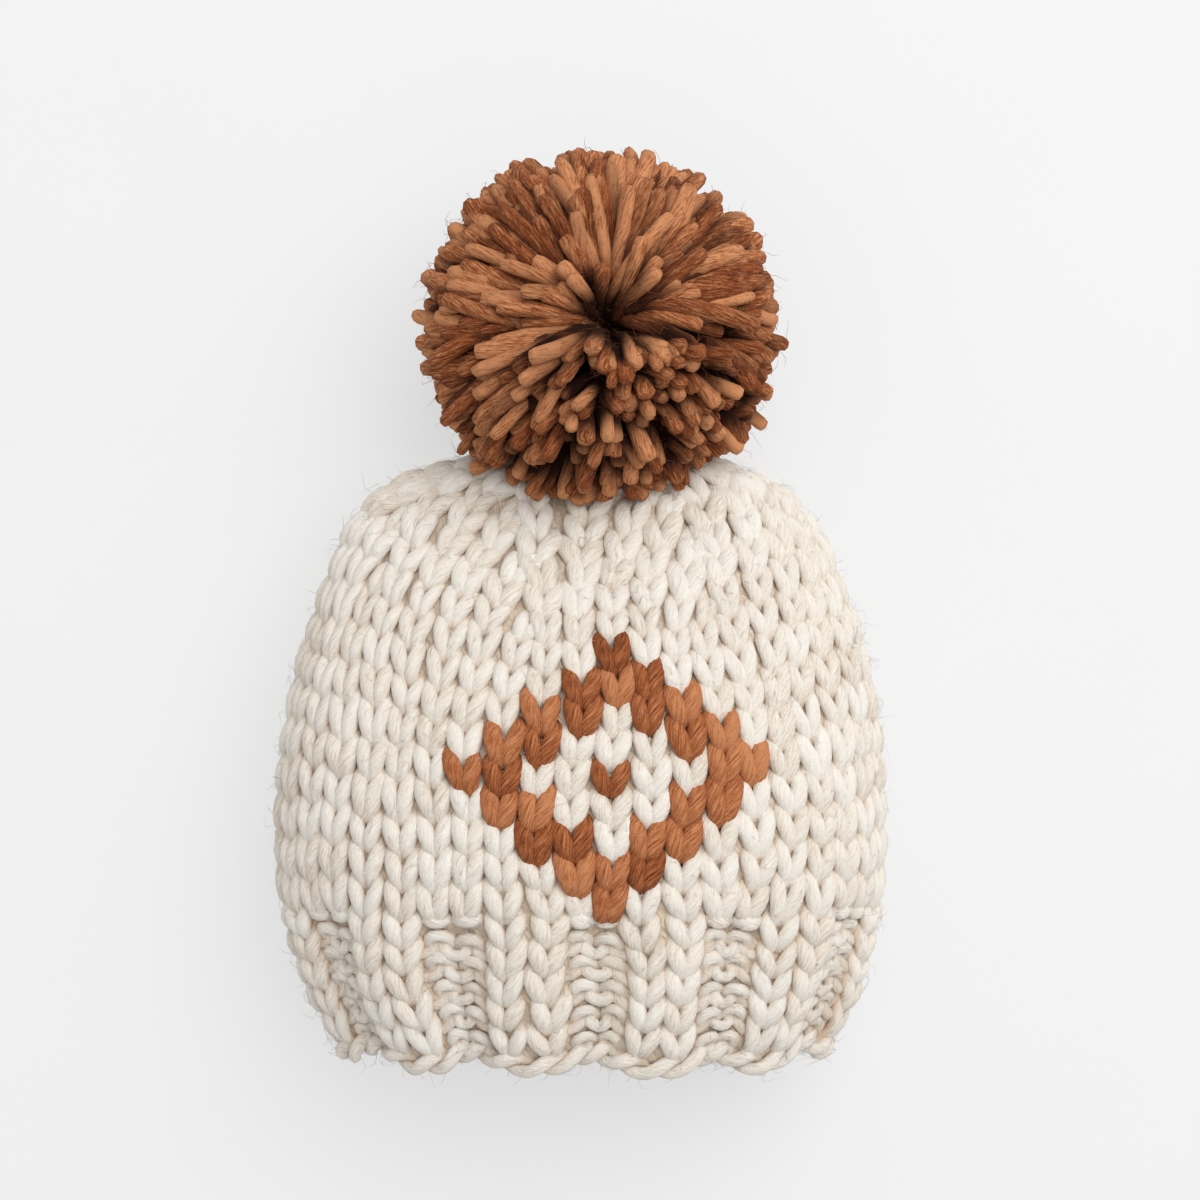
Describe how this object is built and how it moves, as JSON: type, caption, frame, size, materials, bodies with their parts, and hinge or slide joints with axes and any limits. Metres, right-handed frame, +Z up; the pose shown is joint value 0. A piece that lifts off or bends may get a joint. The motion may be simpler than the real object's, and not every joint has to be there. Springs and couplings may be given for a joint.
{
  "type": "knitted baby beanie with pompom",
  "caption": "Chunky knit baby beanie with a ribbed brim, gathered crown, contrast diamond motif and large yarn pompom, lying on its back.",
  "frame": {"origin": "centre of the whole part's outline on the table plane that the hat's back lies on", "axes": "+Z up from the table through the front of the hat, +Y from the open rim towards the pompom, +X to the right seen from above"},
  "size_m": [0.1786, 0.258, 0.0949],
  "materials": {
    "cream_yarn": "undyed cream bulky single-ply wool, matt and slightly fuzzy",
    "caramel_yarn": "caramel brown bulky wool, matt and slightly fuzzy"
  },
  "bodies": {
    "root": {"ribbed_brim": "cream_yarn", "crown": "cream_yarn", "motif_diamond": "caramel_yarn", "motif_dot": "caramel_yarn", "pompom": "caramel_yarn", "pompom_tie": "caramel_yarn"}
  },
  "joints": []
}
